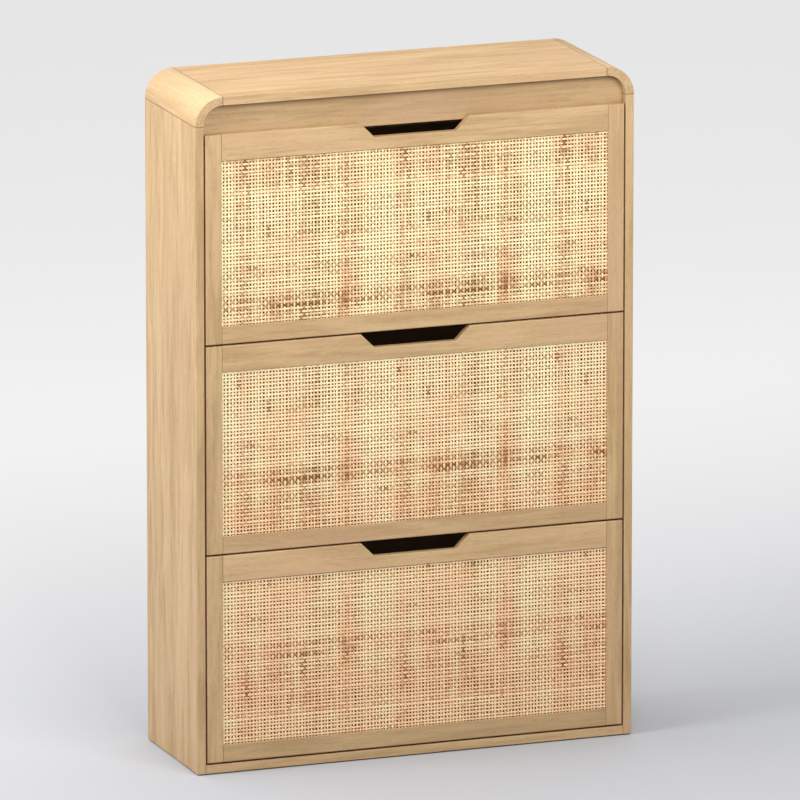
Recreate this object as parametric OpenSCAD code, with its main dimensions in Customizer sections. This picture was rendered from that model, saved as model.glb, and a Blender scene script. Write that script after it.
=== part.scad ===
// Shoe cabinet with three tip-out doors, one above the other. Millimetres, +Z up.
// The origin is the middle of the footprint on the floor, and the doors face -Y.

/* [Cabinet] */
// overall width
body_w = 800; // [700:10:900]
// overall depth
body_d = 260; // [240:5:300]
// overall height, glides included
body_h = 1190; // [1100:5:1300]
// thickness of every carcass board
panel_t = 15; // [12:1:19]
// outer radius of the two rounded top corners
corner_r = 50; // [40:1:70]
// height of the plastic glides under the sides
glide_h = 2; // [2:1:4]
// how far the header panel sits behind the door fronts
header_set = 17.5; // [16:0.5:25]
// lower edge of the header, measured down from the underside of the top
header_h = 60; // [50:1:80]
// height of the wall rail behind the top door
wall_rail_h = 70; // [60:5:100]

/* [Doors] */
// door width
door_w = 764; // [664:2:864]
// door height
door_h = 366; // [340:1:400]
// door thickness
door_t = 15; // [12:1:18]
// gap between doors and around them
door_gap = 3; // [2:0.5:4]
// width of the stiles
stile_w = 29; // [25:1:45]
// height of the top rail
top_rail_h = 46; // [40:1:70]
// height of the bottom rail
bottom_rail_h = 31; // [25:1:50]
// width of the finger notch at its mouth
notch_w = 200; // [120:5:240]
// depth of the finger notch
notch_d = 25; // [18:1:30]
// front lip that the cane rests against
cane_lip = 3; // [2:0.5:6]
// width of the rebate behind the opening
rebate_w = 8; // [6:1:12]
// thickness of the cane webbing
cane_t = 1.6; // [1:0.1:3]

/* [Flap rack] */
// pivot height above the bottom edge of a door
pivot_up = 100; // [90:1:120]
// pivot distance behind the front of a door
pivot_back = 22; // [20:1:26]
// radius of the pivot pin
pin_r = 4; // [3:0.5:5]
// opening angle of a door
open_deg = 50; // [40:1:60]
// thickness of the four boards of a rack
shelf_t = 9; // [6:1:12]
// depth of the front shoe tier
tier_front_d = 100; // [80:1:110]
// depth of the rear shoe tier
tier_rear_d = 99; // [80:1:110]

/* [Hidden] */
$fn = 48;
hw = body_w / 2;
hd = body_d / 2;
in_x = hw - panel_t;
arc_x = hw - corner_r;
arc_z = body_h - corner_r;
in_r = corner_r - panel_t;
top_z = body_h - panel_t;
floor_z = glide_h + panel_t;
// back panel, in a rebate of 8 by 3.5 mm
back_t = 3;
back_reb_w = 8;
back_reb_d = 3.5;
back_y = hd - back_reb_d;
// header and wall rail
header_y = -hd + header_set;
header_z = top_z - header_h;
rail_y = back_y - panel_t;
rail_z = 1060;
// door frame
door_x = door_w / 2;
open_x = door_x - stile_w;
open_z0 = bottom_rail_h;
open_z1 = door_h - top_rail_h;
door_back = -hd + door_t;
cane_y = -hd + cane_lip;
// flap rack, in the door's own height
pivot_y = -hd + pivot_back;
slot_r = 60;
slot_w = 3.4;
stop_r = 3;
stop_a = 80;
stop_y = pivot_y + slot_r * cos(stop_a);
stop_z = pivot_up + slot_r * sin(stop_a);
plate_t = 2.4;
plate_x = in_x - plate_t;
brk_x0 = 374;
brk_x1 = 378;
shelf_x = brk_x0 - 0.2;
low_y0 = door_back + 3;
low_y1 = low_y0 + tier_front_d;
low_z = 14;
div_top = 200;
up_y0 = low_y1 + shelf_t;
up_y1 = up_y0 + tier_rear_d;
up_z = 70;
up_top = 225;
flange_x = 361;
brk_screw_x = 368.5;
brk_screw_z = [45, 135, 225, 312];
// joinery
dowel_r = 4;
dowel_half = 15;
side_dowel_y = [-90, 80];
cam_r = 7.5;
cam_back = 24;
door_dowel_r = 3;
door_dowel_y = -hd + 7.5;
door_dowel_z = [11, 337, 355];
plate_screw = [[-94, 95], [-99.5, 130], [-99.5, 169.5]];

function door_z(i) = floor_z + door_gap + (3 - i) * (door_h + door_gap);

// round bars and bores along each axis, centred on the two other coordinates
module bar_x(x0, x1, y, z, r) translate([x0, y, z]) rotate([0, 90, 0]) cylinder(h = x1 - x0, r = r);
module bar_y(y0, y1, x, z, r) translate([x, y1, z]) rotate([90, 0, 0]) cylinder(h = y1 - y0, r = r);
module bar_z(z0, z1, x, y, r) translate([x, y, z0]) cylinder(h = z1 - z0, r = r);
// a box from two corners, and outlines drawn in the front or the side view
module slab(a, b) translate(a) cube(b - a);
module along_x(x0, t) translate([x0, 0, 0]) rotate([90, 0, 90]) linear_extrude(t) children();
module along_y(y0, t) translate([0, y0 + t, 0]) rotate([90, 0, 0]) linear_extrude(t) children();
module area(a, b) translate(a) square(b - a);
module both_sides() {
  children();
  mirror([1, 0, 0]) children();
}

// ---------- carcass ----------

// where the back panel is screwed to the right side, top and bottom
back_side_z = [90, 330, 570, 810, 1050];
back_edge_x = [-250, 0, 250];

module side_board() {
  difference() {
    slab([in_x, -hd, glide_h], [hw, hd, arc_z]);
    slab([in_x - 1, back_y, 0], [in_x + back_reb_w, hd + 1, arc_z + 1]);
    for (y = side_dowel_y) bar_z(arc_z - dowel_half, arc_z + 1, hw - 7.5, y, dowel_r);
    for (y = [-100, 100]) bar_x(in_x - 1, in_x + 10, y, floor_z - 7.5, dowel_r);
    for (y = [-60, 60]) bar_x(in_x - 1, in_x + 10, y, floor_z - 7.5, 2.5);
    for (z = [rail_z + 12, rail_z + 58]) bar_x(in_x - 1, in_x + 10, rail_y + 7.5, z, dowel_r);
    bar_x(in_x - 1, in_x + 10, rail_y + 7.5, rail_z + 35, 2.5);
    bar_x(in_x - 1, in_x + 10, header_y + 7.5, header_z + 13, 2.5);
    for (z = back_side_z) bar_y(back_y - 12, back_y + 1, in_x + 4, z, 1.2);
    for (i = [1:3]) {
      for (p = plate_screw) bar_x(in_x - 1, in_x + 11, p[0], door_z(i) + p[1], 1.2);
    }
    for (y = [-105, 105]) bar_z(glide_h - 1, glide_h + 13, hw - 7.5, y, 1);
  }
}

module side_left() color("tan") mirror([1, 0, 0]) side_board();
module side_right() color("tan") side_board();

module corner_block() {
  profile = [[in_r + back_reb_w, 0], [corner_r, 0], [corner_r, body_d],
             [in_r, body_d], [in_r, back_reb_d], [in_r + back_reb_w, back_reb_d]];
  difference() {
    translate([arc_x, hd, arc_z]) rotate([90, 0, 0]) rotate_extrude(angle = 90) polygon(profile);
    for (y = side_dowel_y) {
      bar_z(arc_z - 1, arc_z + dowel_half, hw - 7.5, y, dowel_r);
      bar_x(arc_x - 1, arc_x + dowel_half, y, body_h - 7.5, dowel_r);
    }
  }
}

module corner_block_left() color("burlywood") mirror([1, 0, 0]) corner_block();
module corner_block_right() color("burlywood") corner_block();

module top_board() {
  color("tan") difference() {
    slab([-arc_x, -hd, top_z], [arc_x, hd, body_h]);
    slab([-hw, back_y, top_z - 1], [hw, hd + 1, top_z + back_reb_w]);
    both_sides() for (y = side_dowel_y) bar_x(arc_x - dowel_half, arc_x + 1, y, body_h - 7.5, dowel_r);
    for (x = back_edge_x) {
      bar_z(top_z - 1, top_z + 10, x, header_y + 7.5, dowel_r);
      bar_y(back_y - 12, back_y + 1, x, top_z + 4, 1.2);
    }
  }
}

module header_panel() {
  color("burlywood") difference() {
    along_y(header_y, panel_t) {
      area([-in_x + 0.1, header_z], [in_x - 0.1, arc_z]);
      area([-arc_x, header_z], [arc_x, top_z - 0.1]);
      for (s = [-1, 1]) translate([s * arc_x, arc_z]) circle(r = in_r - 0.1);
    }
    for (x = back_edge_x) bar_z(top_z - 20.1, top_z + 1, x, header_y + 7.5, dowel_r);
    both_sides() {
      bar_y(header_y + 2.5, header_y + 16, in_x - cam_back, header_z + 13, cam_r);
      bar_x(in_x - cam_back, in_x + 1, header_y + 7.5, header_z + 13, 3.6);
    }
  }
}

module bottom_board() {
  color("tan") difference() {
    slab([-in_x, -hd, glide_h], [in_x, back_y, floor_z]);
    both_sides() {
      for (y = [-100, 100]) bar_x(in_x - 20, in_x + 1, y, floor_z - 7.5, dowel_r);
      for (y = [-60, 60]) {
        bar_z(glide_h - 1, glide_h + 12.5, in_x - cam_back, y, cam_r);
        bar_x(in_x - cam_back, in_x + 1, y, floor_z - 7.5, 3.6);
      }
    }
    for (x = back_edge_x) bar_y(back_y - 12, back_y + 1, x, floor_z - 7.5, 1.2);
  }
}

module back_panel() {
  edge_x = in_x + back_reb_w - 0.3;
  color("peru") difference() {
    along_y(back_y, back_t) {
      area([-edge_x, glide_h + 2], [edge_x, arc_z]);
      area([-arc_x, arc_z - 1], [arc_x, top_z + back_reb_w - 0.3]);
      for (s = [-1, 1]) translate([s * arc_x, arc_z]) circle(r = in_r + back_reb_w - 0.3);
    }
    both_sides() {
      for (z = back_side_z) bar_y(back_y - 1, back_y + 4, in_x + 4, z, 1.7);
      bar_y(back_y - 1, back_y + 4, 250, rail_z + 35, 3);
    }
    for (x = back_edge_x) {
      bar_y(back_y - 1, back_y + 4, x, floor_z - 7.5, 1.7);
      bar_y(back_y - 1, back_y + 4, x, top_z + 4, 1.7);
    }
  }
}

module wall_rail() {
  color("tan") difference() {
    slab([-in_x, rail_y, rail_z], [in_x, back_y, rail_z + wall_rail_h]);
    both_sides() {
      for (z = [rail_z + 12, rail_z + 58]) bar_x(in_x - 20, in_x + 1, rail_y + 7.5, z, dowel_r);
      bar_y(rail_y - 1, rail_y + 12.5, in_x - cam_back, rail_z + 35, cam_r);
      bar_x(in_x - cam_back, in_x + 1, rail_y + 7.5, rail_z + 35, 3.6);
      bar_y(rail_y - 1, back_y + 1, 250, rail_z + 35, 2.75);
    }
  }
}

module carcass_dowels() {
  r = dowel_r - 0.05;
  color("wheat") {
    both_sides() {
      for (y = side_dowel_y) {
        bar_z(arc_z - 14, arc_z + 14, hw - 7.5, y, r);
        bar_x(arc_x - 14, arc_x + 14, y, body_h - 7.5, r);
      }
      for (y = [-100, 100]) bar_x(in_x - 19, in_x + 9, y, floor_z - 7.5, r);
      for (z = [rail_z + 12, rail_z + 58]) bar_x(in_x - 19, in_x + 9, rail_y + 7.5, z, r);
    }
    for (x = back_edge_x) bar_z(top_z - 19, top_z + 9, x, header_y + 7.5, r);
  }
}

// a cam disc that stands on z = 0, with a cross slot and a side hole toward +X
module cam_disc() {
  difference() {
    cylinder(h = 12, r = cam_r - 0.1);
    bar_x(-4.2, cam_r, 0, 7.5, 3.6);
    slab([-5, -0.9, -1], [5, 0.9, 2]);
    slab([-0.9, -5, -1], [0.9, 5, 2]);
  }
}

module cam_locks() {
  x = in_x - cam_back;
  color("silver") both_sides() {
    for (y = [-60, 60]) translate([x, y, glide_h]) cam_disc();
    translate([x, rail_y, rail_z + 35]) rotate([-90, 0, 0]) cam_disc();
    translate([x, header_y + 15, header_z + 13]) rotate([90, 0, 0]) cam_disc();
  }
}

// a cam bolt along X: thread in the side, shank and head in the cam
module cam_bolt(y, z) {
  bar_x(in_x, in_x + 9.5, y, z, 2.45);
  bar_x(in_x - 20, in_x, y, z, 3);
  bar_x(in_x - cam_back, in_x - 20, y, z, 1.8);
  bar_x(in_x - cam_back - 3.5, in_x - cam_back, y, z, 3.4);
}

module cam_bolts() {
  color("gray") both_sides() {
    for (y = [-60, 60]) cam_bolt(y, floor_z - 7.5);
    cam_bolt(rail_y + 7.5, rail_z + 35);
    cam_bolt(header_y + 7.5, header_z + 13);
  }
}

// a pan-headed screw that points along -Y, its head's underside at y = 0
module small_screw(len, r, head_r, head_h) {
  difference() {
    bar_y(0, head_h, 0, 0, head_r);
    slab([-head_r * 0.6, head_h * 0.5, -0.35], [head_r * 0.6, head_h + 1, 0.35]);
    slab([-0.35, head_h * 0.5, -head_r * 0.6], [0.35, head_h + 1, head_r * 0.6]);
  }
  bar_y(-len + 2, 0.1, 0, 0, r);
  translate([0, -len + 2, 0]) rotate([90, 0, 0]) cylinder(h = 2, r1 = r, r2 = 0.3);
}

module back_panel_screws() {
  y = back_y + back_t;
  color("silver") {
    both_sides() for (z = back_side_z) translate([in_x + 4, y - 0.7, z]) back_screw();
    for (x = back_edge_x) {
      translate([x, y - 0.7, floor_z - 7.5]) back_screw();
      translate([x, y - 0.7, top_z + 4]) back_screw();
    }
  }
}

module back_screw() {
  bar_y(0.7, 1.2, 0, 0, 3);
  bar_y(-13.5, 0.8, 0, 0, 1.15);
}

module glides() {
  color("dimgray") both_sides() for (y = [-105, 105]) {
    bar_z(0, glide_h, hw - 7.5, y, 7);
    bar_z(glide_h, glide_h + 12, hw - 7.5, y, 0.95);
  }
}

module door_bumpers() {
  color("white") both_sides() bar_y(header_y - 2.2, header_y, in_x - 40, header_z + 4.5, 3.5);
}

// pivot plates with the pivot pin and the stop pin, one for each door
module pivot_plate() {
  yc = -99.5;
  difference() {
    along_x(plate_x, plate_t) {
      area([yc - 13.5, 97.5], [yc + 13.5, 162.5]);
      for (z = [97.5, 162.5]) translate([yc, z]) circle(r = 13.5);
    }
    for (p = plate_screw) {
      bar_x(plate_x - 1, in_x + 1, p[0], p[1], 1.7);
      translate([plate_x - 0.01, p[0], p[1]]) rotate([0, 90, 0]) cylinder(h = 1.4, r1 = 3.1, r2 = 1.7);
    }
  }
  bar_x(369, plate_x + 0.1, pivot_y, pivot_up, pin_r);
  bar_x(372, plate_x + 0.1, stop_y, stop_z, stop_r);
}

module pivot_plates_left() {
  color("gainsboro") mirror([1, 0, 0]) for (i = [1:3]) translate([0, 0, door_z(i)]) pivot_plate();
}

module pivot_plates_right() {
  color("gainsboro") for (i = [1:3]) translate([0, 0, door_z(i)]) pivot_plate();
}

module pivot_plate_screws() {
  color("silver") both_sides() for (i = [1:3]) translate([0, 0, door_z(i)]) {
    for (p = plate_screw) translate([plate_x, p[0], p[1]]) rotate([0, 90, 0]) {
      cylinder(h = 1.4, r1 = 3, r2 = 1.6);
      cylinder(h = 12.5, r = 1.15);
    }
  }
}

// ---------- doors, drawn with the lower edge at z = 0 ----------

// side view of a door, its lower front edge eased so that it swings past the door below
module door_profile() {
  polygon([[door_back, 0], [-hd + 1.5, 0], [-hd, 1.5], [-hd, door_h - 0.8],
           [-hd + 0.8, door_h], [door_back, door_h]]);
}

module cane_rebate() {
  slab([-open_x - rebate_w, cane_y, open_z0 - rebate_w],
       [open_x + rebate_w, door_back + 1, open_z1 + rebate_w]);
}

module door_dowel_bores() {
  both_sides() for (z = door_dowel_z) bar_x(open_x - 15, open_x + 15, door_dowel_y, z, door_dowel_r);
}

module stile() {
  color("tan") difference() {
    along_x(open_x, stile_w) door_profile();
    cane_rebate();
    door_dowel_bores();
    for (z = brk_screw_z) bar_y(door_back - 9.5, door_back + 1, brk_screw_x, z, 1.2);
  }
}

module stile_left() mirror([1, 0, 0]) stile();

module rails() {
  difference() {
    along_x(-open_x, 2 * open_x) door_profile();
    slab([-open_x - 1, -hd - 1, open_z0], [open_x + 1, door_back + 1, open_z1]);
    cane_rebate();
    door_dowel_bores();
    along_y(-hd - 1, door_t + 2) polygon([[-notch_w / 2 - 5, door_h + 5], [notch_w / 2 + 5, door_h + 5],
      [notch_w / 2 - notch_d, door_h - notch_d], [-notch_w / 2 + notch_d, door_h - notch_d]]);
  }
}

module top_rail() {
  color("burlywood") intersection() {
    rails();
    slab([-hw, -hd - 1, door_h / 2], [hw, 0, door_h + 1]);
  }
}

module bottom_rail() {
  color("burlywood") intersection() {
    rails();
    slab([-hw, -hd - 1, -1], [hw, 0, door_h / 2]);
  }
}

module frame_dowels() {
  color("wheat") both_sides() for (z = door_dowel_z) {
    bar_x(open_x - 14, open_x + 14, door_dowel_y, z, door_dowel_r - 0.05);
  }
}

module cane_panel() {
  x = open_x + rebate_w - 0.5;
  color("moccasin") slab([-x, cane_y, open_z0 - rebate_w + 0.5],
                         [x, cane_y + cane_t, open_z1 + rebate_w - 0.5]);
}

module retaining_beads() {
  x = open_x + rebate_w - 0.3;
  y0 = cane_y + cane_t;
  z0 = open_z0 - rebate_w + 0.3;
  z1 = open_z1 + rebate_w - 0.3;
  color("tan") {
    slab([-x, y0, z0], [x, door_back, z0 + 7]);
    slab([-x, y0, z1 - 7], [x, door_back, z1]);
    both_sides() slab([x - 7, y0, z0 + 7.2], [x, door_back, z1 - 7.2]);
  }
}

// side view of the four boards of a rack, each grown by g
module shelf_areas(g) {
  area([low_y0 - g, low_z - g], [low_y1 + g, low_z + shelf_t + g]);
  area([low_y1 - g, low_z - g], [low_y1 + shelf_t + g, div_top + g]);
  area([up_y0 - g, up_z - g], [up_y1 + g, up_z + shelf_t + g]);
  area([up_y1 - g, up_z - g], [up_y1 + shelf_t + g, up_top + g]);
}

module slot_arc() {
  a0 = stop_a - open_deg;
  a1 = (a0 + stop_a) / 2;
  intersection() {
    difference() {
      circle(r = slot_r + slot_w);
      circle(r = slot_r - slot_w);
    }
    polygon([[0, 0], [90 * cos(a0), 90 * sin(a0)], [90 * cos(a1), 90 * sin(a1)],
             [90 * cos(stop_a), 90 * sin(stop_a)]]);
  }
}

// the arc slot that the stop pin runs in, with a round end at each limit
module stop_slot() {
  along_x(brk_x0 - 1, 6) translate([pivot_y, pivot_up]) slot_arc();
  for (a = [stop_a - open_deg, stop_a]) {
    bar_x(brk_x0 - 1, brk_x1 + 1, pivot_y + slot_r * cos(a), pivot_up + slot_r * sin(a), slot_w + 0.1);
  }
}

module bracket() {
  rear = up_y1 + shelf_t + 6;
  color("dimgray") difference() {
    union() {
      along_x(brk_x0, brk_x1 - brk_x0) polygon([[door_back, 6], [low_y1 + shelf_t + 1, 6],
        [low_y1 + shelf_t + 6, 11], [low_y1 + shelf_t + 6, up_z - 8], [rear - 8, up_z - 8], [rear, up_z],
        [rear, up_top], [rear - 10, up_top + 10], [-40, 290], [-80, 326], [-92, 330], [door_back, 330]]);
      along_x(brk_x0 - 10, 10.1) difference() {
        shelf_areas(2);
        shelf_areas(0.1);
      }
      slab([flange_x, door_back, 30], [brk_x0 + 0.1, door_back + 4, 326]);
      bar_x(371, 380, pivot_y, pivot_up, pin_r + 2.5);
    }
    bar_x(flange_x - 1, 381, pivot_y, pivot_up, pin_r + 0.05);
    stop_slot();
    for (z = brk_screw_z) bar_y(door_back - 1, door_back + 5, brk_screw_x, z, 1.7);
  }
}

module bracket_left() mirror([1, 0, 0]) bracket();

module shelf_lower() color("saddlebrown") slab([-shelf_x, low_y0, low_z], [shelf_x, low_y1 - 0.1, low_z + shelf_t]);
module divider() color("saddlebrown") slab([-shelf_x, low_y1, low_z], [shelf_x, low_y1 + shelf_t, div_top]);
module shelf_upper() color("saddlebrown") slab([-shelf_x, up_y0 + 0.1, up_z], [shelf_x, up_y1 - 0.1, up_z + shelf_t]);
module rack_back() color("saddlebrown") slab([-shelf_x, up_y1, up_z], [shelf_x, up_y1 + shelf_t, up_top]);

module bracket_screws() {
  color("silver") both_sides() for (z = brk_screw_z) {
    translate([brk_screw_x, door_back + 4, z]) small_screw(12.5, 1.15, 3, 2);
  }
}

module up_to(i) translate([0, 0, door_z(i)]) children();

module door1_stile_left() up_to(1) stile_left();
module door1_stile_right() up_to(1) stile();
module door1_top_rail() up_to(1) top_rail();
module door1_bottom_rail() up_to(1) bottom_rail();
module door1_dowels() up_to(1) frame_dowels();
module door1_cane() up_to(1) cane_panel();
module door1_beads() up_to(1) retaining_beads();
module door1_bracket_left() up_to(1) bracket_left();
module door1_bracket_right() up_to(1) bracket();
module door1_shelf_front() up_to(1) shelf_lower();
module door1_divider() up_to(1) divider();
module door1_shelf_rear() up_to(1) shelf_upper();
module door1_rack_back() up_to(1) rack_back();
module door1_screws() up_to(1) bracket_screws();

module door2_stile_left() up_to(2) stile_left();
module door2_stile_right() up_to(2) stile();
module door2_top_rail() up_to(2) top_rail();
module door2_bottom_rail() up_to(2) bottom_rail();
module door2_dowels() up_to(2) frame_dowels();
module door2_cane() up_to(2) cane_panel();
module door2_beads() up_to(2) retaining_beads();
module door2_bracket_left() up_to(2) bracket_left();
module door2_bracket_right() up_to(2) bracket();
module door2_shelf_front() up_to(2) shelf_lower();
module door2_divider() up_to(2) divider();
module door2_shelf_rear() up_to(2) shelf_upper();
module door2_rack_back() up_to(2) rack_back();
module door2_screws() up_to(2) bracket_screws();

module door3_stile_left() up_to(3) stile_left();
module door3_stile_right() up_to(3) stile();
module door3_top_rail() up_to(3) top_rail();
module door3_bottom_rail() up_to(3) bottom_rail();
module door3_dowels() up_to(3) frame_dowels();
module door3_cane() up_to(3) cane_panel();
module door3_beads() up_to(3) retaining_beads();
module door3_bracket_left() up_to(3) bracket_left();
module door3_bracket_right() up_to(3) bracket();
module door3_shelf_front() up_to(3) shelf_lower();
module door3_divider() up_to(3) divider();
module door3_shelf_rear() up_to(3) shelf_upper();
module door3_rack_back() up_to(3) rack_back();
module door3_screws() up_to(3) bracket_screws();

side_left();
side_right();
corner_block_left();
corner_block_right();
top_board();
header_panel();
bottom_board();
back_panel();
wall_rail();
carcass_dowels();
cam_locks();
cam_bolts();
back_panel_screws();
glides();
door_bumpers();
pivot_plates_left();
pivot_plates_right();
pivot_plate_screws();
door1_stile_left();
door1_stile_right();
door1_top_rail();
door1_bottom_rail();
door1_dowels();
door1_cane();
door1_beads();
door1_bracket_left();
door1_bracket_right();
door1_shelf_front();
door1_divider();
door1_shelf_rear();
door1_rack_back();
door1_screws();
door2_stile_left();
door2_stile_right();
door2_top_rail();
door2_bottom_rail();
door2_dowels();
door2_cane();
door2_beads();
door2_bracket_left();
door2_bracket_right();
door2_shelf_front();
door2_divider();
door2_shelf_rear();
door2_rack_back();
door2_screws();
door3_stile_left();
door3_stile_right();
door3_top_rail();
door3_bottom_rail();
door3_dowels();
door3_cane();
door3_beads();
door3_bracket_left();
door3_bracket_right();
door3_shelf_front();
door3_divider();
door3_shelf_rear();
door3_rack_back();
door3_screws();
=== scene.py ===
import math
import random

import bmesh
import bpy
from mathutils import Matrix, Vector, noise


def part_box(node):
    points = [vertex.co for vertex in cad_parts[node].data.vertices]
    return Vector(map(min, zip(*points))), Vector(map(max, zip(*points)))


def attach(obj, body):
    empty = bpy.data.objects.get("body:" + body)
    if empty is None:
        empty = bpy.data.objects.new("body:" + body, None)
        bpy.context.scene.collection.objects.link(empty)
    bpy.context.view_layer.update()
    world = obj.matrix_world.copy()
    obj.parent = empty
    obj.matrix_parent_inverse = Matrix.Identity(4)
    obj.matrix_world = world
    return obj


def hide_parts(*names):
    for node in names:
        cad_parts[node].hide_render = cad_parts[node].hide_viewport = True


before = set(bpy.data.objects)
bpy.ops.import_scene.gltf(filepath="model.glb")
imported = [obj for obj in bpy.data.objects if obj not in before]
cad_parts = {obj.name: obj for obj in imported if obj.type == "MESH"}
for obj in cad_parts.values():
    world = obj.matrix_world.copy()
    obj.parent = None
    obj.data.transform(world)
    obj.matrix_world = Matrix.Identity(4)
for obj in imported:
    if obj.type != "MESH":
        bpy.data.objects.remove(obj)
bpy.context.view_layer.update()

# ---------------------------------------------------------------- side panels
# Two boards of veneered oak, 15 mm thick, each one length from the floor to the corner block.
# The grain runs upright, the arrises are lightly eased, and the face is matt lacquered.
# Every oak board gets its own material, so that no two boards show the same piece of the tree.


def shader_group(name, inputs, outputs):
    """A new node group with its sockets. Each socket is (name, kind, default)."""
    group = bpy.data.node_groups.new(name, "ShaderNodeTree")
    for label, kind, default in inputs:
        made = group.interface.new_socket(label, in_out="INPUT", socket_type=kind)
        made.default_value = default
    for label, kind in outputs:
        group.interface.new_socket(label, in_out="OUTPUT", socket_type=kind)
    return group


class Bench:
    """Places shader nodes in a tree and wires them up as it goes."""

    def __init__(self, tree):
        self.nodes, self.links = tree.nodes, tree.links

    def put(self, kind, wires=None, **settings):
        node = self.nodes.new(kind)
        for key, value in settings.items():
            setattr(node, key, value)
        for key, value in (wires or {}).items():
            self.feed(node.inputs[key], value)
        return node

    def feed(self, socket, value):
        if isinstance(value, bpy.types.NodeSocket):
            self.links.new(value, socket)
        else:
            socket.default_value = value

    def sum(self, operation, *values, clamp=False):
        node = self.put("ShaderNodeMath", operation=operation, use_clamp=clamp)
        for k, value in enumerate(values):
            self.feed(node.inputs[k], value)
        return node.outputs[0]

    def stretch(self, vector, scale, shift=(0, 0, 0)):
        node = self.put("ShaderNodeMapping", {"Vector": vector, "Scale": scale, "Location": shift})
        return node.outputs[0]

    def grain(self, vector, scale, detail=2.0, roughness=0.5, distortion=0.0):
        """Noise over an already stretched vector, as a factor."""
        node = self.put("ShaderNodeTexNoise", {"Vector": vector, "Scale": scale, "Detail": detail,
                                               "Roughness": roughness, "Distortion": distortion})
        return node.outputs["Fac"]

    def window(self, value, low, high, out_low=0.0, out_high=1.0):
        """Maps low..high to out_low..out_high, held at the ends, with a smooth turn."""
        node = self.put("ShaderNodeMapRange", interpolation_type="SMOOTHSTEP")
        for key, number in zip(("Value", "From Min", "From Max", "To Min", "To Max"),
                               (value, low, high, out_low, out_high)):
            self.feed(node.inputs[key], number)
        return node.outputs[0]

    def blend(self, factor, a, b, kind="MIX"):
        """Two colours mixed. A mix node's colours are its sockets 6 and 7, and its output 2."""
        node = self.put("ShaderNodeMix", data_type="RGBA", blend_type=kind, clamp_factor=True)
        self.feed(node.inputs[0], factor)
        self.feed(node.inputs[6], a)
        self.feed(node.inputs[7], b)
        return node.outputs[2]

    def skin(self, wires):
        """The material's surface, with these sockets fed."""
        surface = self.put("ShaderNodeBsdfPrincipled", wires)
        self.put("ShaderNodeOutputMaterial", {"Surface": surface.outputs[0]})


def new_skin(name):
    """An empty material, as (material, bench on its tree, place on the piece in metres)."""
    made = bpy.data.materials.new(name)
    made.use_nodes = True
    made.node_tree.nodes.clear()
    b = Bench(made.node_tree)
    return made, b, b.put("ShaderNodeTexCoord").outputs["Object"]


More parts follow.
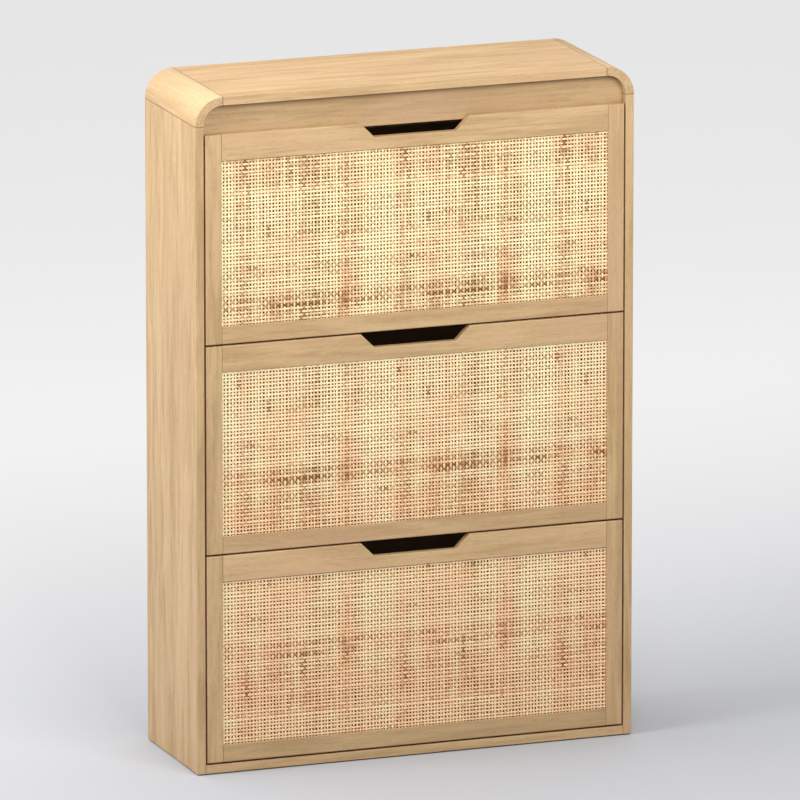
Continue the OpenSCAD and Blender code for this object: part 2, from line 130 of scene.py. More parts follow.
def build_oak_grain():
    """Straight oak grain for a vector in metres whose Z runs along the grain."""
    group = shader_group(
        "oak_grain",
        [("Vector", "NodeSocketVector", (0, 0, 0)),
         ("Pale", "NodeSocketColor", (0.6, 0.4, 0.2, 1)),
         ("Deep", "NodeSocketColor", (0.4, 0.25, 0.12, 1)),
         ("Blush", "NodeSocketColor", (0.6, 0.36, 0.2, 1)),
         ("Wander", "NodeSocketFloat", 0.006),
         ("JointShade", "NodeSocketFloat", 0.0),
         ("Sawn", "NodeSocketFloat", 0.0)],
        [("Color", "NodeSocketColor"), ("Roughness", "NodeSocketFloat"), ("Height", "NodeSocketFloat")])
    b = Bench(group)
    ins = b.put("NodeGroupInput").outputs
    # the grain wanders sideways a few millimetres over a board's length
    slow_place = b.stretch(ins["Vector"], (3.0, 3.0, 2.4))
    drift = b.put("ShaderNodeTexNoise", {"Vector": slow_place, "Scale": 1.0, "Detail": 3.0})
    aside = b.put("ShaderNodeVectorMath", {0: drift.outputs["Color"], 1: (0.5, 0.5, 0.5)},
                  operation="SUBTRACT")
    sway = b.put("ShaderNodeVectorMath", {0: aside.outputs[0], "Scale": ins["Wander"]}, operation="SCALE")
    swayed = b.put("ShaderNodeVectorMath", {0: ins["Vector"], 1: sway.outputs[0]}, operation="ADD")
    place = swayed.outputs[0]
    broad = b.grain(b.stretch(place, (22, 22, 1.6)), 1.0, 2.0, 0.5)
    figure = b.grain(b.stretch(place, (52, 52, 5.0), (8, 2, 5)), 1.0, 3.0, 0.5, 0.8)
    lines = b.grain(b.stretch(place, (210, 210, 9), (3, 1, 2)), 1.0, 3.0, 0.6)
    fine = b.grain(b.stretch(place, (620, 620, 18), (7, 5, 1)), 1.0, 2.0, 0.6)
    pores = b.grain(b.stretch(place, (1500, 1500, 62), (2, 9, 4)), 1.0, 1.0, 0.5)
    flecks = b.grain(b.stretch(place, (420, 90, 75), (5, 2, 8)), 1.0, 1.0, 0.5)
    warm = b.grain(b.stretch(place, (13, 13, 2.6), (1, 6, 3)), 1.0, 2.0, 0.5)
    early = b.window(lines, 0.36, 0.66)
    pore = b.sum("MULTIPLY", b.window(pores, 0.58, 0.70), b.window(lines, 0.36, 0.58, 0.25, 1.0))
    slow = b.sum("ADD", b.window(broad, 0.30, 0.70, 0.0, 0.24), b.window(figure, 0.28, 0.72, 0.0, 0.42))
    quick = b.sum("ADD", b.sum("MULTIPLY", early, 0.16), b.sum("MULTIPLY", fine, 0.24))
    tone = b.sum("ADD", slow, quick)
    wood = b.blend(b.window(tone, 0.18, 0.92), ins["Pale"], ins["Deep"])
    wood = b.blend(b.window(warm, 0.46, 0.68, 0.0, 0.6), wood, ins["Blush"])
    wood = b.blend(b.window(flecks, 0.66, 0.74, 0.0, 0.12), wood, (0.82, 0.68, 0.47, 1))
    wood = b.blend(b.sum("MULTIPLY", pore, 0.34), wood, (0.16, 0.085, 0.035, 1))
    # sawn ends show the open vessels as dark dots, and each joint shows a thin dark seam: painted shade
    # for the shadow in the gap between the boards, with the glue line
    dots = b.grain(b.stretch(ins["Vector"], (560, 560, 560)), 1.0, 2.0, 0.6)
    open_end = b.sum("MULTIPLY", ins["Sawn"], b.window(dots, 0.46, 0.62, 0.0, 0.55))
    wood = b.blend(open_end, wood, (0.30, 0.175, 0.075, 1))
    wood = b.blend(b.sum("MULTIPLY", ins["JointShade"], 0.68), wood, (0.12, 0.068, 0.028, 1))
    open_pores = b.sum("ADD", pore, open_end)
    rough = b.sum("ADD", b.window(tone, 0.2, 0.9, 0.42, 0.54), b.sum("MULTIPLY", open_pores, 0.14))
    hollows = b.sum("ADD", pore, b.sum("MULTIPLY", early, 0.2))
    height = b.sum("SUBTRACT", b.sum("MULTIPLY", fine, 0.35), hollows)
    out = b.put("NodeGroupOutput")
    for key, value in (("Color", wood), ("Roughness", rough), ("Height", height)):
        b.feed(out.inputs[key], value)
    return group


def build_near_plane():
    """1 on a plane square to one axis, falling to 0 a short reach away from it."""
    group = shader_group(
        "near_plane",
        [("Vector", "NodeSocketVector", (0, 0, 0)),
         ("Axis", "NodeSocketVector", (0, 0, 1)),
         ("At", "NodeSocketFloat", 0.0),
         ("Full", "NodeSocketFloat", 0.0003),
         ("Reach", "NodeSocketFloat", 0.0012)],
        [("Mask", "NodeSocketFloat")])
    b = Bench(group)
    ins = b.put("NodeGroupInput").outputs
    along = b.put("ShaderNodeVectorMath", {0: ins["Vector"], 1: ins["Axis"]}, operation="DOT_PRODUCT")
    apart = b.sum("ABSOLUTE", b.sum("SUBTRACT", along.outputs["Value"], ins["At"]))
    out = b.put("NodeGroupOutput")
    b.feed(out.inputs["Mask"], b.window(apart, ins["Full"], ins["Reach"], 1.0, 0.0))
    return group


oak_grain, near_plane = build_oak_grain(), build_near_plane()
QUARTER = math.pi / 2
AXES = {"x": (1, 0, 0), "y": (0, 1, 0), "z": (0, 0, 1)}
# turns that bring a board's grain onto Z: upright boards, level boards, and blocks sawn front to back
GRAIN_TURN = {"upright": (0, 0, 0), "level": (0, QUARTER, 0), "deep": (QUARTER, 0, 0)}
PALE, DEEP, BLUSH = (0.577, 0.393, 0.204), (0.423, 0.268, 0.126), (0.544, 0.338, 0.190)
oak_count = 0


def oak(name, grain, shade=1.0, joints=(), sawn=(), pale=PALE, deep=DEEP, blush=BLUSH, wander=0.008):
    """Lacquered oak whose grain runs the given way, cut from its own place in the tree.
    joints and sawn list planes as (axis, place): seams that get a thin line of painted shade, for the
    shadow in the gap with its glue line, and the bare sawn ends."""
    global oak_count
    oak_count += 1
    made, b, where = new_skin(name)
    turned = b.put("ShaderNodeMapping", {"Vector": where, "Rotation": GRAIN_TURN[grain]}).outputs[0]
    shift = (1.37 * oak_count, 0.71 * oak_count, 2.13 * oak_count)
    moved = b.stretch(turned, (1, 1, 1), shift)
    oak_wood = b.put("ShaderNodeGroup", node_tree=oak_grain)
    for key, value in (("Vector", moved), ("Wander", wander)):
        b.feed(oak_wood.inputs[key], value)
    for key, tint in (("Pale", pale), ("Deep", deep), ("Blush", blush)):
        b.feed(oak_wood.inputs[key], (*[c * shade for c in tint], 1))
    # the seam planes become the mask for painted shade, a thin dark line along each joint
    for key, planes in (("JointShade", joints), ("Sawn", sawn)):
        mask = 0.0
        for axis, place in planes:
            near = b.put("ShaderNodeGroup", node_tree=near_plane)
            for socket, value in (("Vector", where), ("Axis", AXES[axis]), ("At", place)):
                b.feed(near.inputs[socket], value)
            mask = b.sum("MAXIMUM", mask, near.outputs["Mask"])
        b.feed(oak_wood.inputs[key], mask)
    bump = b.put("ShaderNodeBump", {"Height": oak_wood.outputs["Height"], "Strength": 0.55,
                                    "Distance": 0.00012})
    b.skin({"Base Color": oak_wood.outputs["Color"], "Roughness": oak_wood.outputs["Roughness"],
            "Normal": bump.outputs[0], "Specular IOR Level": 0.36})
    return made


# faces that meet within the first angle are one flat, and edges sharper than the second are arrises
FLAT_WITHIN, ARRIS_OVER = math.radians(0.6), math.radians(40)


def dress(node, material, ease=0.0):
    """Gives a CAD node its material, and eases its sharp arrises by that many metres."""
    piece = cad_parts[node]
    piece.data.materials.clear()
    piece.data.materials.append(material)
    if ease:
        weld = piece.modifiers.new("weld", "WELD")
        weld.merge_threshold = 1e-5
        flat = piece.modifiers.new("flat", "DECIMATE")
        flat.decimate_type, flat.angle_limit = "DISSOLVE", FLAT_WITHIN
        arris = piece.modifiers.new("arris", "BEVEL")
        arris.width, arris.segments, arris.limit_method = ease, 2, "ANGLE"
        arris.angle_limit, arris.profile = ARRIS_OVER, 0.5
        arris.use_clamp_overlap, arris.harden_normals = False, False
    return piece


ARRIS = 0.0006
SIDE_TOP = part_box("side_left")[1].z
dress("side_left", oak("oak_side_left", "upright", joints=[("z", SIDE_TOP)]), ARRIS)
dress("side_right", oak("oak_side_right", "upright", joints=[("z", SIDE_TOP)]), ARRIS)

# -------------------------------------------------------------- corner blocks
# Quarter-round blocks of solid oak, sawn so that the grain runs front to back.
# They are dowelled to the side below and the top beside, and show end grain at the front.
SOLID_PALE, SOLID_DEEP = (0.607, 0.419, 0.231), (0.494, 0.323, 0.166)
low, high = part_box("top_board")
TOP_LEFT, TOP_RIGHT = low.x, high.x
for hand, joint_x in (("left", TOP_LEFT), ("right", TOP_RIGHT)):
    low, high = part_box(f"corner_block_{hand}")
    block = oak(f"oak_corner_{hand}", "deep", joints=[("z", SIDE_TOP), ("x", joint_x)],
                sawn=[("y", low.y), ("y", high.y)], pale=SOLID_PALE, deep=SOLID_DEEP, blush=SOLID_PALE)
    dress(f"corner_block_{hand}", block, ARRIS)

# ------------------------------------------------------- top, header and base
# The top and the base are veneered boards with the grain from side to side.
# The header closes the space over the top door, set back behind it, and the wall rail ties the rear.


def end_joints(node):
    """The planes of a level board's two ends."""
    low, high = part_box(node)
    return [("x", low.x), ("x", high.x)]


dress("top_board", oak("oak_top", "level", 1.04, end_joints("top_board")), ARRIS)
dress("header_panel", oak("oak_header", "level", 0.92, wander=0.012), ARRIS)
dress("bottom_board", oak("oak_bottom", "level", 1.0, end_joints("bottom_board")), ARRIS)
dress("wall_rail", oak("oak_wall_rail", "level", 0.96, end_joints("wall_rail")), ARRIS)

# ----------------------------------------------------------------- back panel
# A sheet of 3 mm hardboard, sealed dark brown, lying in a rebate all round.
# Its face is smooth with the faint cloudiness of pressed fibre.


def build_mottle():
    """A slow cloud and a fine speck at two scales, for skins with no grain."""
    group = shader_group(
        "mottle",
        [("Vector", "NodeSocketVector", (0, 0, 0)), ("Cloud", "NodeSocketFloat", 20.0),
         ("Speck", "NodeSocketFloat", 800.0)],
        [("Cloud", "NodeSocketFloat"), ("Speck", "NodeSocketFloat")])
    b = Bench(group)
    ins = b.put("NodeGroupInput").outputs
    out = b.put("NodeGroupOutput")
    b.feed(out.inputs["Cloud"], b.grain(ins["Vector"], ins["Cloud"], 4.0, 0.6))
    b.feed(out.inputs["Speck"], b.grain(ins["Vector"], ins["Speck"], 2.0, 0.6))
    return group


mottle = build_mottle()


def mottled_skin(name, light, dark, cloud_scale, speck_scale, roughness, depth, metallic=0.0, stain=0.0):
    """A plain skin with a cloudy tone and specks: pressed board, foil, cast metal or moulded plastic."""
    made, b, where = new_skin(name)
    marks = b.put("ShaderNodeGroup", node_tree=mottle)
    for key, value in (("Vector", where), ("Cloud", cloud_scale), ("Speck", speck_scale)):
        b.feed(marks.inputs[key], value)
    cloud, speck = marks.outputs["Cloud"], marks.outputs["Speck"]
    colour = b.blend(b.window(cloud, 0.3, 0.7), (*light, 1), (*dark, 1))
    if stain:
        colour = b.blend(b.window(speck, 0.52, 0.72, 0.0, stain), colour, (*[c * 0.5 for c in dark], 1))
    bump = b.put("ShaderNodeBump", {"Height": speck, "Strength": 0.5, "Distance": depth})
    rough = b.sum("ADD", b.window(cloud, 0.25, 0.75, roughness - 0.06, roughness + 0.06),
                  b.window(speck, 0.3, 0.7, -0.03, 0.03))
    b.skin({"Base Color": colour, "Roughness": rough, "Metallic": metallic, "Normal": bump.outputs[0]})
    return made


hardboard = mottled_skin("hardboard", (0.225, 0.129, 0.062), (0.199, 0.112, 0.053), 14, 530, 0.62, 0.00008,
                         stain=0.35)
dress("back_panel", hardboard)

# --------------------------------------------------------------------- dowels
# Fluted beech dowels glued into the frame joints, out of sight once the cabinet is built.


def raw_beech(name):
    """Bare beech with a short fine fibre."""
    made, b, where = new_skin(name)
    fibre = b.grain(b.stretch(where, (900, 900, 300)), 1.0, 3.0, 0.6)
    colour = b.blend(fibre, (0.62, 0.42, 0.25, 1), (0.50, 0.31, 0.17, 1))
    bump = b.put("ShaderNodeBump", {"Height": fibre, "Strength": 0.6, "Distance": 0.0001})
    b.skin({"Base Color": colour, "Roughness": 0.7, "Normal": bump.outputs[0]})
    return made


beech = raw_beech("beech")
dress("carcass_dowels", beech)

# ----------------------------------------------------- cam fittings and screws
# Die-cast zinc cams and pivot plates with a satin, slightly pitted skin, and plated steel screws.
zinc = mottled_skin("cast_zinc", (0.56, 0.56, 0.57), (0.42, 0.42, 0.44), 70, 1400, 0.42, 0.00006, 1.0)
screw_steel = mottled_skin("plated_steel", (0.62, 0.60, 0.54), (0.50, 0.49, 0.46), 90, 2600, 0.32, 0.00004,
                           1.0)
for node in ("cam_locks", "cam_bolts", "pivot_plates_left", "pivot_plates_right"):
    dress(node, zinc)
for node in ("back_panel_screws", "pivot_plate_screws"):
    dress(node, screw_steel)

# --------------------------------------------------------- glides and bumpers
# Nail-on glides of brown plastic under the sides, and two clear soft bumpers on the header.
glide_plastic = mottled_skin("glide_plastic", (0.10, 0.065, 0.04), (0.08, 0.05, 0.03), 60, 1800, 0.5,
                             0.00005)
soft_bumper = mottled_skin("soft_bumper", (0.62, 0.62, 0.60), (0.55, 0.55, 0.53), 60, 900, 0.35, 0.00003)
dress("glides", glide_plastic, 0.0004)
dress("door_bumpers", soft_bumper, 0.0005)

# ---------------------------------------------------------------- door frames
# Each door is four pieces of oak, butt jointed and dowelled: upright stiles with level rails between.
# The top rail has the finger notch cut down from its upper edge.
RAIL_SHADE = {(1, "top_rail"): 1.03, (1, "bottom_rail"): 1.0,
              (2, "top_rail"): 1.0, (2, "bottom_rail"): 0.98,
              (3, "top_rail"): 1.06, (3, "bottom_rail"): 0.92}
STILE_SHADE = {(1, "left"): 1.02, (1, "right"): 1.02,
               (2, "left"): 0.98, (2, "right"): 1.05,
               (3, "left"): 0.97, (3, "right"): 0.98}
for door in (1, 2, 3):
    low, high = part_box(f"door{door}_stile_left")
    for hand in ("left", "right"):
        stile = oak(f"oak_door{door}_stile_{hand}", "upright", STILE_SHADE[door, hand],
                    sawn=[("z", low.z), ("z", high.z)])
        dress(f"door{door}_stile_{hand}", stile, ARRIS)
    for rail in ("top_rail", "bottom_rail"):
        node = f"door{door}_{rail}"
        board = oak(f"oak_{node}", "level", RAIL_SHADE[door, rail], end_joints(node), wander=0.014)
        dress(node, board, ARRIS)
    dress(f"door{door}_beads", oak(f"oak_door{door}_beads", "level"))
    dress(f"door{door}_dowels", beech)
    dress(f"door{door}_screws", screw_steel)

# ---------------------------------------------------------------- cane panels
# Each panel is webbing of split cane, woven one over and one under, about 6 mm apart.
# The strands are flat and uneven, cream to tan with dark skins here and there, tucked under the beads.


def build_cane_fibre():
    """Split cane. The vector's Z runs along the strand, Across goes from 0 to 1 over its width."""
    group = shader_group(
        "cane_fibre",
        [("Vector", "NodeSocketVector", (0, 0, 0)),
         ("Across", "NodeSocketFloat", 0.5),
         ("Tone", "NodeSocketFloat", 0.2),
         ("Blush", "NodeSocketFloat", 0.3)],
        [("Color", "NodeSocketColor"), ("Roughness", "NodeSocketFloat"), ("Height", "NodeSocketFloat")])
    b = Bench(group)
    ins = b.put("NodeGroupInput").outputs
    fibre = b.grain(b.stretch(ins["Vector"], (1900, 1900, 55)), 1.0, 3.0, 0.6)
    patch = b.grain(b.stretch(ins["Vector"], (160, 160, 34)), 1.0, 2.0, 0.5)
    off_middle = b.sum("ABSOLUTE", b.sum("SUBTRACT", b.sum("MULTIPLY", ins["Across"], 2.0), 1.0))
    # painted shade: a strand runs darker towards its edges, where it meets the shade of the holes
    edge = b.window(off_middle, 0.55, 1.0)
    spread = b.sum("ADD", b.window(patch, 0.25, 0.75, -0.10, 0.10), b.window(fibre, 0.3, 0.7, -0.09, 0.09))
    level = b.sum("ADD", b.sum("ADD", ins["Tone"], b.sum("MULTIPLY", edge, 0.25)), spread)
    shades = b.put("ShaderNodeValToRGB", {"Fac": level})
    ramp = shades.color_ramp
    ramp.elements[0].position, ramp.elements[0].color = 0.0, (0.985, 0.925, 0.570, 1)
    ramp.elements[1].position, ramp.elements[1].color = 1.0, (0.17, 0.085, 0.030, 1)
    for position, colour in ((0.30, (0.93, 0.80, 0.46, 1)), (0.55, (0.68, 0.49, 0.27, 1)),
                             (0.78, (0.38, 0.22, 0.090, 1))):
        ramp.elements.new(position).color = colour
    pink = b.blend(ins["Blush"], shades.outputs[0], (1.0, 0.72, 0.71, 1), "MULTIPLY")
    # painted shade: the strands' edges turn brown towards the holes, standing for the shade and warm
    # bounce between strands, with a little of the brown bark
    pink = b.blend(b.sum("MULTIPLY", edge, 0.80), pink, (0.43, 0.20, 0.045, 1))
    crown = b.sum("SUBTRACT", 1.0, b.sum("MULTIPLY", off_middle, off_middle))
    out = b.put("NodeGroupOutput")
    for key, value in (("Color", pink), ("Roughness", b.window(fibre, 0.2, 0.8, 0.42, 0.62)),
                       ("Height", b.sum("ADD", crown, b.sum("MULTIPLY", fibre, 0.3)))):
        b.feed(out.inputs[key], value)
    return group


cane_fibre = build_cane_fibre()


def cane_strands(name, grain):
    """The skin of strands that run one way. The mesh stores each strand's tone and blush."""
    made, b, where = new_skin(name)
    along = b.put("ShaderNodeMapping", {"Vector": where, "Rotation": GRAIN_TURN[grain]}).outputs[0]
    width_map = b.put("ShaderNodeUVMap", uv_map="strand").outputs[0]
    across = b.put("ShaderNodeSeparateXYZ", {0: width_map}).outputs[0]
    cane = b.put("ShaderNodeGroup", node_tree=cane_fibre)
    for key, value in (("Vector", along), ("Across", across)):
        b.feed(cane.inputs[key], value)
    for key in ("Tone", "Blush"):
        stored = b.put("ShaderNodeAttribute", attribute_name=key.lower(), attribute_type="GEOMETRY")
        b.feed(cane.inputs[key], stored.outputs["Fac"])
    bump = b.put("ShaderNodeBump", {"Height": cane.outputs["Height"], "Strength": 0.7, "Distance": 0.0003})
    b.skin({"Base Color": cane.outputs["Color"], "Roughness": cane.outputs["Roughness"],
            "Normal": bump.outputs[0], "Specular IOR Level": 0.35})
    return made


cane_skin = {grain: cane_strands(f"cane_{grain}", grain) for grain in ("upright", "level")}

# a strand's run is the axis that it follows
UPRIGHT, LEVEL = 2, 0
# the strands' pitch across and up, and their width and thickness
PITCH_X, PITCH_Z = 0.00595, 0.00635
STRAND_W, STRAND_T = 0.0038, 0.00045
# the first strand's clearance from the sheet's edge, and how far behind its face the weave's middle lies
SHEET_EDGE, WEAVE_DEPTH = 0.001, 0.0007
# how far a strand bows out, how much of it lies flat at a crossing, how far its ends run under the beads
WEAVE_RISE, CROSS_FLAT, TUCK = 0.00036, 0.0012, 0.003
# the loom's pattern repeats across and up the roll, and two pale strands lie close where it starts again
REPEAT_X, REPEAT_Z = 0.292, 0.308
ROLL_X, ROLL_Z = -0.145, 0.093
# how much paler and wider those strands are, and how near the start, in pitches, their middles lie
SEAM_PALE, SEAM_WIDE, SEAM_REACH = 0.18, 1.2, 0.55
# dark skins within one repeat, as (across, up, reach along the strand, depth)
DARK_UPRIGHT = ((0.170, 0.242, 0.013, 0.75), (0.115, 0.285, 0.008, 0.60), (0.056, 0.155, 0.018, 0.50),
                (0.014, 0.107, 0.024, 0.20), (0.128, 0.060, 0.030, 0.28), (0.232, 0.090, 0.025, 0.30),
                (0.087, 0.070, 0.060, -0.28))
DARK_LEVEL = ((0.228, 0.107, 0.056, 0.70), (0.245, 0.235, 0.035, 0.42), (0.142, 0.175, 0.010, 0.55),
              (0.060, 0.107, 0.050, 0.34), (0.030, 0.225, 0.030, 0.24))
# softer patches within one repeat, as (across, up, half width, half height, depth)
PATCHES = ((0.165, 0.240, 0.030, 0.055, -0.08), (0.012, 0.105, 0.022, 0.030, 0.13),
           (0.190, 0.100, 0.020, 0.040, 0.12), (0.130, 0.060, 0.025, 0.035, 0.10),
           (0.245, 0.060, 0.030, 0.040, 0.07))
# the upright skins come in bands, as (across, half width, tone, blush)
BANDS = ((0.030, 0.014, 0.11, 0.28), (0.076, 0.026, -0.20, -0.30), (0.118, 0.010, 0.10, 0.24),
         (0.172, 0.036, -0.07, 0.02), (0.200, 0.012, 0.03, 0.20), (0.256, 0.030, 0.09, -0.16))
# the lower part of each repeat was woven from browner cane, and the three panels differ a little
BROWN_UP_TO, BROWN_SOFT, BROWN_DEPTH = 0.135, 0.012, 0.10
DOOR_TONE = {1: 0.200, 2: 0.110, 3: 0.042}

# every strand of the repeat has its own tone, width and shift, and the level ones start a few draws on
cane_dice = random.Random(41)
REPEAT_STRANDS, LEVEL_FROM = 52, 3
own_tone = [cane_dice.gauss(0.0, 0.095) for _ in range(REPEAT_STRANDS)]
own_width = [cane_dice.uniform(0.84, 1.16) for _ in range(REPEAT_STRANDS)]
own_shift = [cane_dice.uniform(-0.0005, 0.0005) for _ in range(REPEAT_STRANDS)]


def in_repeat(x, z):
    """Where a point lies within the webbing's repeat."""
    return (x - ROLL_X) % REPEAT_X, (z - ROLL_Z) % REPEAT_Z


def fade(value, high, low):
    """1 below low, 0 above high, with a straight slope between."""
    return max(0.0, min(1.0, (high - value) / (high - low)))


def strand_places(run, low, high):
    """The strands across a panel, as (middle, number in the repeat, whether the pattern starts here)."""
    pitch, repeat, roll = (PITCH_X, REPEAT_X, ROLL_X) if run == UPRIGHT else (PITCH_Z, REPEAT_Z, ROLL_Z)
    count = round((high - low) / pitch)
    step = (high - low) / count
    strands = []
    for k in range(count):
        middle = low + (k + 0.5) * step
        spot = (middle - roll) % repeat
        number = int(spot / step) + (0 if run == UPRIGHT else LEVEL_FROM)
        seam = min(spot, repeat - spot) < step * SEAM_REACH
        strands.append((middle + own_shift[number], number, seam))
    return strands


def strand_tone(door, run, middle, place, number, seam):
    """How dark a strand is at one place along it, from 0 for cream to 1 for dark brown."""
    x, z = (middle, place) if run == UPRIGHT else (place, middle)
    across, up = in_repeat(x, z)
    value = DOOR_TONE[door] + own_tone[number]
    value += BROWN_DEPTH * fade(up, BROWN_UP_TO + BROWN_SOFT, BROWN_UP_TO - BROWN_SOFT)
    # broad clouds over the webbing, then mottling and short brown marks along the strand
    value += 0.15 * noise.noise(Vector((across * 30, up * 9, 3.1 * run))) - (SEAM_PALE if seam else 0.0)
    value += 0.27 * noise.noise(Vector((number * 1.7, place * 24, 9.0 * door + run)))
    value += 0.40 * max(0.0, noise.noise(Vector((number * 2.3, place * 60, 5.0 * door + run))) - 0.14)
    for at_across, half_w, tone, _ in BANDS if run == UPRIGHT else ():
        value += tone * math.exp(-((across - at_across) / half_w) ** 4)
    for at_across, at_up, half_w, half_h, depth in PATCHES:
        value += depth * math.exp(-((across - at_across) / half_w) ** 2 - ((up - at_up) / half_h) ** 2)
    # a dark skin takes the one strand that passes within half a pitch of it
    for at_across, at_up, reach, depth in DARK_UPRIGHT if run == UPRIGHT else DARK_LEVEL:
        beside, off, pitch = across - at_across, up - at_up, PITCH_X
        if run == LEVEL:
            beside, off, pitch = off, beside, PITCH_Z
        if abs(beside) < pitch * 0.52 and abs(off) < 2.2 * reach:
            streaky = 0.75 + 0.5 * noise.noise(Vector((place * 160, 0, 0)))
            value += depth * math.exp(-(off / reach) ** 4) * streaky
    return max(0.0, min(1.0, value))


def strand_blush(run, middle, place):
    """How pink a strand is at one place along it: most at the cabinet's foot and low in each repeat."""
    x, z = (middle, place) if run == UPRIGHT else (place, middle)
    across, up = in_repeat(x, z)
    tuft = noise.noise(Vector((across * 26, up * 7, 4.0)))
    tuft += 0.6 * noise.noise(Vector((across * 9, up * 30, 8.0)))
    value = 0.90 - 0.76 * z + 0.05 * fade(up, 0.150, 0.120) + 0.17 * fade(up, 0.085, 0.055) + 0.42 * tuft
    for at_across, half_w, _, rosy in BANDS if run == UPRIGHT else ():
        value += rosy * math.exp(-((across - at_across) / half_w) ** 4)
    return max(0.0, min(1.0, value))


def weave_strand(bm, door, run, strand, crossings, front, ahead):
    """One strand as a strip, in front (front is 1) or behind (-1) where it first crosses another."""
    middle, number, seam = strand
    side = LEVEL if run == UPRIGHT else UPRIGHT
    stations = []
    for k, (at, _, _) in enumerate(crossings):
        lift = front if k % 2 == 0 else -front
        stations += [(at - CROSS_FLAT, lift), (at + CROSS_FLAT, lift)]
    stations[0] = (crossings[0][0] - TUCK, stations[0][1])
    stations[-1] = (crossings[-1][0] + TUCK, stations[-1][1])
    tone, blush = bm.verts.layers.float["tone"], bm.verts.layers.float["blush"]
    width = STRAND_W * own_width[number] * (SEAM_WIDE if seam else 1.0)
    phase = 11.3 * number + 5.1 * door
    last = len(stations) - 1
    # a flat strip of unit size, whose points are then laid along the strand
    made = bmesh.ops.create_grid(bm, x_segments=1, y_segments=last, size=0.5, calc_uvs=True)
    for v in made["verts"]:
        edge, at = v.co.x * 2, round((v.co.y + 0.5) * last)
        place, lift = stations[at]
        # it swells and thins a little, and does not run quite straight
        swell = 1 + 0.14 * noise.noise(Vector((place * 110, phase, 0)))
        bow = 0.00028 * noise.noise(Vector((place * 24, phase, 7)))
        co = Vector((0, ahead - lift * WEAVE_RISE, 0))
        co[run] = place
        co[side] = middle + bow + edge * width * swell / 2
        v.co = co
        v[tone] = strand_tone(door, run, middle, place, number, seam)
        v[blush] = strand_blush(run, middle, place)


def webbing(door):
    """The upright and the level strands of one panel, as two pieces."""
    low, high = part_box(f"door{door}_cane")
    xs = strand_places(UPRIGHT, low.x + SHEET_EDGE, high.x - SHEET_EDGE)
    zs = strand_places(LEVEL, low.z + SHEET_EDGE, high.z - SHEET_EDGE)
    for run, mine, crossings, grain in ((UPRIGHT, xs, zs, "upright"), (LEVEL, zs, xs, "level")):
        bm = bmesh.new()
        bm.verts.layers.float.new("tone")
        bm.verts.layers.float.new("blush")
        bm.loops.layers.uv.new("strand")
        for k, strand in enumerate(mine):
            front = 1 if (k % 2 == 0) == (run == UPRIGHT) else -1
            weave_strand(bm, door, run, strand, crossings, front, low.y + WEAVE_DEPTH)
        bmesh.ops.solidify(bm, geom=bm.faces[:], thickness=STRAND_T)
        bmesh.ops.recalc_face_normals(bm, faces=bm.faces[:])
        mesh = bpy.data.meshes.new(f"door{door}_cane_{grain}s")
        bm.to_mesh(mesh)
        bm.free()
        mesh.materials.append(cane_skin[grain])
        piece = bpy.data.objects.new(mesh.name, mesh)
        bpy.context.scene.collection.objects.link(piece)
        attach(piece, f"door{door}")
        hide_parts(f"door{door}_cane")


for door in (1, 2, 3):
    webbing(door)

# ---------------------------------------------------------------- flap racks
# Behind each door hangs its rack: two moulded brackets on the pivot pins, and four boards whose dark brown
# foil is painted shade for the dim inside of the cabinet.
# They turn with the door, and carry two rows of shoes.
bracket_plastic = mottled_skin("bracket_plastic", (0.030, 0.024, 0.020), (0.022, 0.018, 0.015), 60, 1500,
                               0.5, 0.00008)
# painted shade: the rack boards are dark brown so that the inside looks dim through the cane and the
# finger notches
rack_board_painted_shade = mottled_skin("rack_board_painted_shade", (0.235, 0.133, 0.060), (0.175, 0.096, 0.042), 20, 760, 0.5, 0.00006,
                         stain=0.3)
for door in (1, 2, 3):
    for hand in ("left", "right"):
        dress(f"door{door}_bracket_{hand}", bracket_plastic)
    for board in ("shelf_front", "divider", "shelf_rear", "rack_back"):
        dress(f"door{door}_{board}", rack_board_painted_shade, 0.0005)

# --------------------------------------------------- floor, light and camera
# A pale floor that runs out of sight, plain but for painted shade in front of the cabinet, softboxes
# overhead, on the left and in front, and even fill.


def floor_with_painted_shade():
    """Matt pale paper, with painted shade: it darkens and cools in front of the cabinet to half its
    brightness far behind.
    """
    made, b, where = new_skin("pale_floor_painted_shade")
    dust = b.grain(where, 3.0, 3.0, 0.5)
    rear = b.put("ShaderNodeSeparateXYZ", {0: where}).outputs[1]
    # painted shade: the paper's colour darkens towards the front, where the cabinet's shadow falls
    paper = b.blend(b.window(rear, -0.5, 2.6), (0.386, 0.393, 0.416, 1), (0.79, 0.79, 0.79, 1))
    colour = b.blend(b.window(dust, 0.2, 0.8, 0.0, 0.02), paper, (0.5, 0.5, 0.5, 1))
    b.skin({"Base Color": colour, "Roughness": 0.9, "Specular IOR Level": 0.1})
    return made


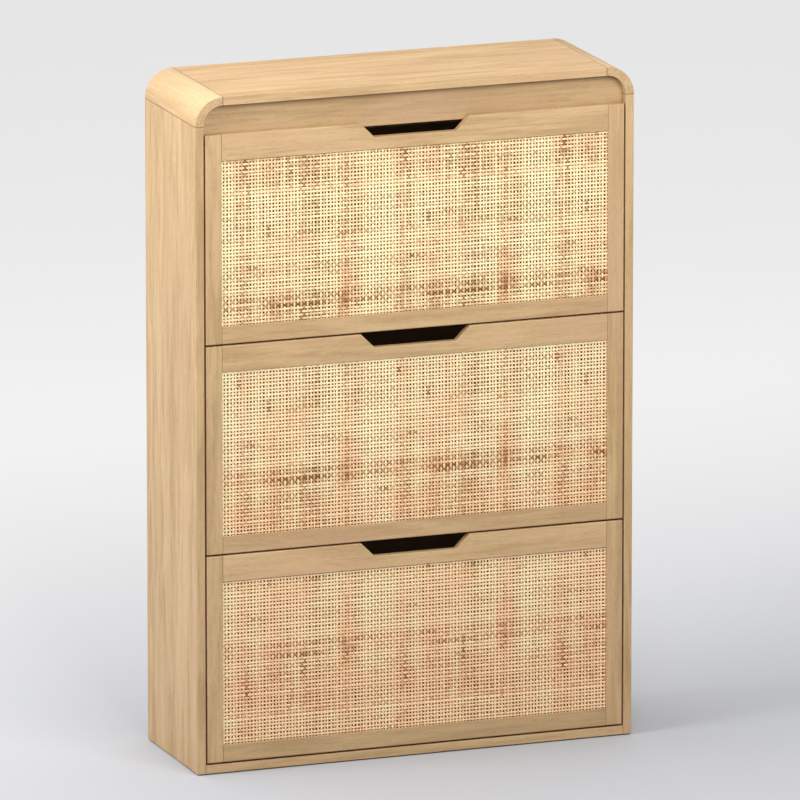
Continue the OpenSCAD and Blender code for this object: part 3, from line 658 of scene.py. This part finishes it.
bm = bmesh.new()
bmesh.ops.create_grid(bm, x_segments=1, y_segments=1, size=90)
floor_mesh = bpy.data.meshes.new("floor")
bm.to_mesh(floor_mesh)
bm.free()
floor_mesh.materials.append(floor_with_painted_shade())
floor = bpy.data.objects.new("floor", floor_mesh)
bpy.context.scene.collection.objects.link(floor)

world = bpy.data.worlds.new("studio_fill")
world.use_nodes = True
world.node_tree.nodes["Background"].inputs["Color"].default_value = (1.0, 1.0, 1.0, 1)
world.node_tree.nodes["Background"].inputs["Strength"].default_value = 0.287
bpy.context.scene.world = world


def aimed(kind, name, place, at, power, **settings):
    """A lamp that stands at one place and shines at another."""
    lamp = bpy.data.lights.new(name, kind)
    lamp.energy = power
    for key, value in settings.items():
        setattr(lamp, key, value)
    holder = bpy.data.objects.new(name, lamp)
    holder.location = place
    holder.rotation_euler = (Vector(at) - Vector(place)).to_track_quat("-Z", "Y").to_euler()
    bpy.context.scene.collection.objects.link(holder)
    return holder


aimed("SUN", "overhead_softbox", (-0.5, 1.5, 6.0), (0, 0, 0), 2.23, angle=math.radians(80))
left_softbox = aimed("AREA", "left_softbox", (-2.2, -0.3, 2.1), (-0.3, 0, 1.0), 57, shape="RECTANGLE",
                     size=1.4, size_y=1.0)
# it is close, so it would burn out the top board's sheen in a low view from the right
left_softbox.visible_glossy = False
aimed("AREA", "front_softbox", (0.15, -2.1, 2.15), (0, 0, 0.9), 49.8, shape="RECTANGLE",
      size=1.8, size_y=0.8)

camera_data = bpy.data.cameras.new("camera")
camera_data.sensor_width, camera_data.lens = 36.0, 560.4
camera_data.clip_end = 300
camera = bpy.data.objects.new("camera", camera_data)
aim = Vector((-0.0292, -0.130, 0.6341))
yaw, pitch, distance = math.radians(20.34), math.radians(13.43), 21.388
ahead = Vector((math.sin(yaw) * math.cos(pitch), math.cos(yaw) * math.cos(pitch), -math.sin(pitch)))
camera.location = aim - ahead * distance
camera.rotation_euler = ahead.to_track_quat("-Z", "Y").to_euler()
bpy.context.scene.collection.objects.link(camera)
bpy.context.scene.camera = camera
bpy.context.scene.view_settings.view_transform = "Standard"
